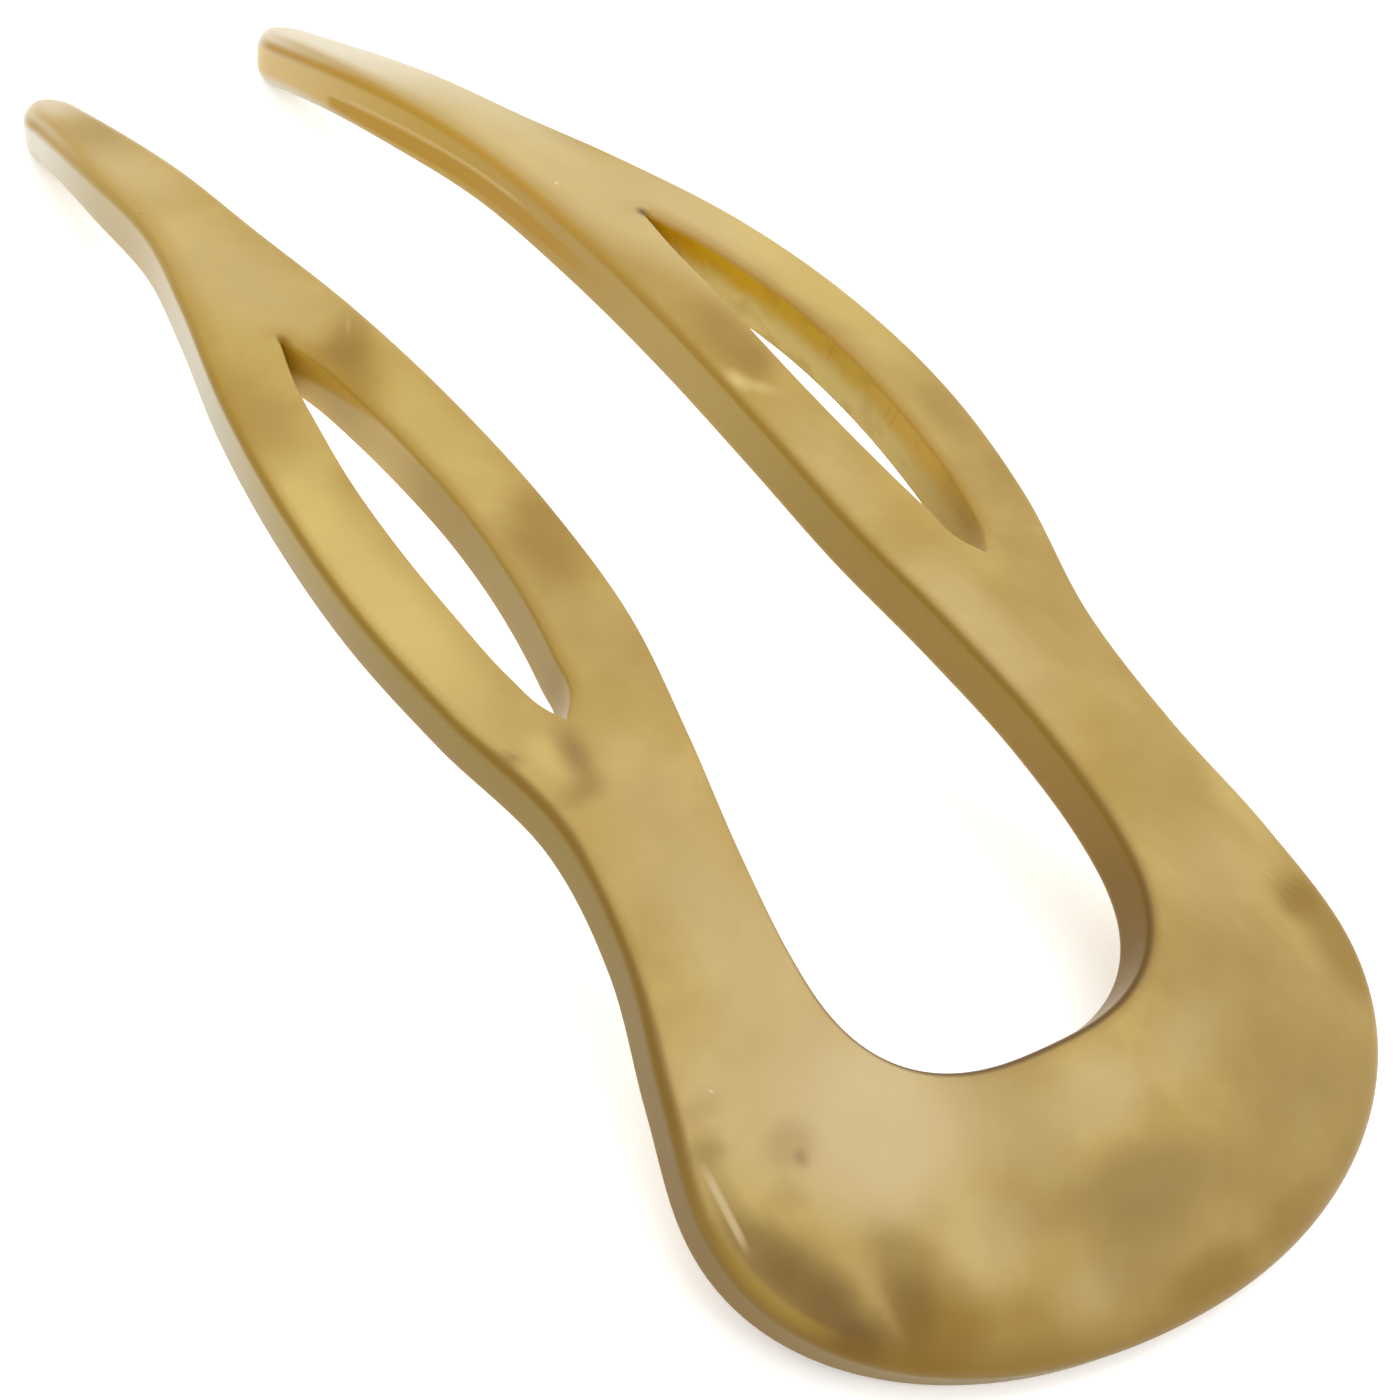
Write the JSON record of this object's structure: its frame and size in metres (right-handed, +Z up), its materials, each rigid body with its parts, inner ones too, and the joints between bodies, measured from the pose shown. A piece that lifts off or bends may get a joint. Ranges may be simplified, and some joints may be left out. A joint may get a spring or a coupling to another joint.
{
  "type": "hair fork",
  "caption": "Bowed hair fork cut from one marbled plastic plate, with wavy prongs, pointed eye cut-outs and a wide crescent head.",
  "frame": {"origin": "centre of the footprint, on the surface it rests on", "axes": "+X across the fork; +Y along the prongs, from the head to the tips; +Z up, out of the front face"},
  "size_m": [0.0504, 0.1032, 0.015],
  "materials": {
    "acetate": "polished, marbled, slightly translucent"
  },
  "bodies": {
    "root": {"hair_fork": "acetate"}
  },
  "joints": []
}
